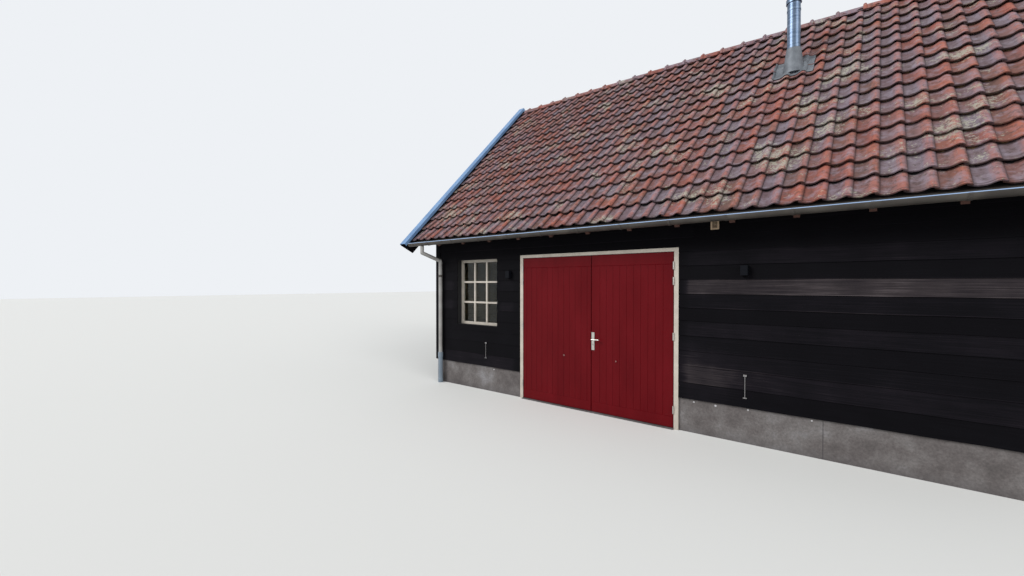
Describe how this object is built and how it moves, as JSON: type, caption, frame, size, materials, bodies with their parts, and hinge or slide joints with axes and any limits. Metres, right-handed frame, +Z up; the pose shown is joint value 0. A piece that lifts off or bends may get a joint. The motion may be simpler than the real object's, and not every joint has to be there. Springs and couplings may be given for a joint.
{
  "type": "tiled timber barn",
  "caption": "Black boarded timber barn on a concrete plinth: clay pantile saddle roof, side-hung red double doors, small window, gutters and a flue; hollow inside.",
  "frame": {"origin": "on the ground at the middle of the footprint, under the ridge", "axes": "+X along the ridge, to the right seen from the doors; +Y from the door front to the back wall; +Z up"},
  "size_m": [9.04, 7.504, 6.51],
  "materials": {
    "concrete": "matt concrete",
    "tarred_boards": "near-black tarred timber",
    "roof_timber": "rough-sawn softwood",
    "clay_tile": "weathered fired clay",
    "zinc": "dull zinc sheet",
    "grey_plastic_pipe": "matt grey pipe",
    "steel_flue": "satin steel",
    "cream_paint": "painted timber, satin",
    "fittings_steel": "satin steel",
    "red_paint": "gloss painted timber",
    "glass": "clear",
    "black_metal": "black powder coat",
    "cream_plastic": "matt"
  },
  "bodies": {
    "barn": {"floor_slab": "concrete", "front_plinth": "concrete", "back_plinth": "concrete", "gable_plinths": "concrete", "front_wall_left": "tarred_boards", "front_wall_over_door": "tarred_boards", "front_wall_right": "tarred_boards", "back_wall": "tarred_boards", "left_gable_wall": "tarred_boards", "right_gable_wall": "tarred_boards", "wall_plates": "roof_timber", "eaves_boards": "tarred_boards", "ridge_board": "roof_timber", "rafters": "roof_timber", "collar_ties": "roof_timber", "tie_beams": "roof_timber", "front_roof_boarding": "roof_timber", "back_roof_boarding": "roof_timber", "front_roof_tiles": "clay_tile", "back_roof_tiles": "clay_tile", "ridge_tiles": "clay_tile", "barge_boards": "tarred_boards", "verge_caps": "zinc", "gutters": "zinc", "gutter_brackets": "zinc", "downpipes": "zinc", "downpipe_feet": "grey_plastic_pipe", "flue_pipe": "steel_flue", "flue_cowl": "steel_flue", "flue_flashing": "zinc", "door_posts": "cream_paint", "door_head": "cream_paint", "door_threshold": "concrete", "hinge_pins": "fittings_steel", "stay_hooks": "fittings_steel", "window_frames": "cream_paint", "window_glass": "glass", "wall_lamps": "black_metal", "eaves_vent": "cream_plastic"},
    "left_door": {"left_door": "red_paint", "left_door_fittings": "fittings_steel"},
    "right_door": {"right_door": "red_paint", "right_door_fittings": "fittings_steel", "handle_plates": "fittings_steel"},
    "lever": {"door_lever": "fittings_steel"}
  },
  "joints": [
    {"name": "left_door_hinge", "type": "hinge", "parent": "barn", "child": "left_door", "pos_m": [-1.844, -3.275, 0], "axis": [0, 0, -1], "range_deg": [0, 160]},
    {"name": "right_door_hinge", "type": "hinge", "parent": "barn", "child": "right_door", "pos_m": [0.644, -3.275, 0], "axis": [0, 0, 1], "range_deg": [0, 160]},
    {"name": "lever_turn", "type": "hinge", "parent": "right_door", "child": "lever", "pos_m": [-0.536, -3.265, 1.084], "axis": [0, 1, 0], "range_deg": [0, 45], "stiffness_Nm_per_rad": 2, "springref_deg": -17.19}
  ]
}
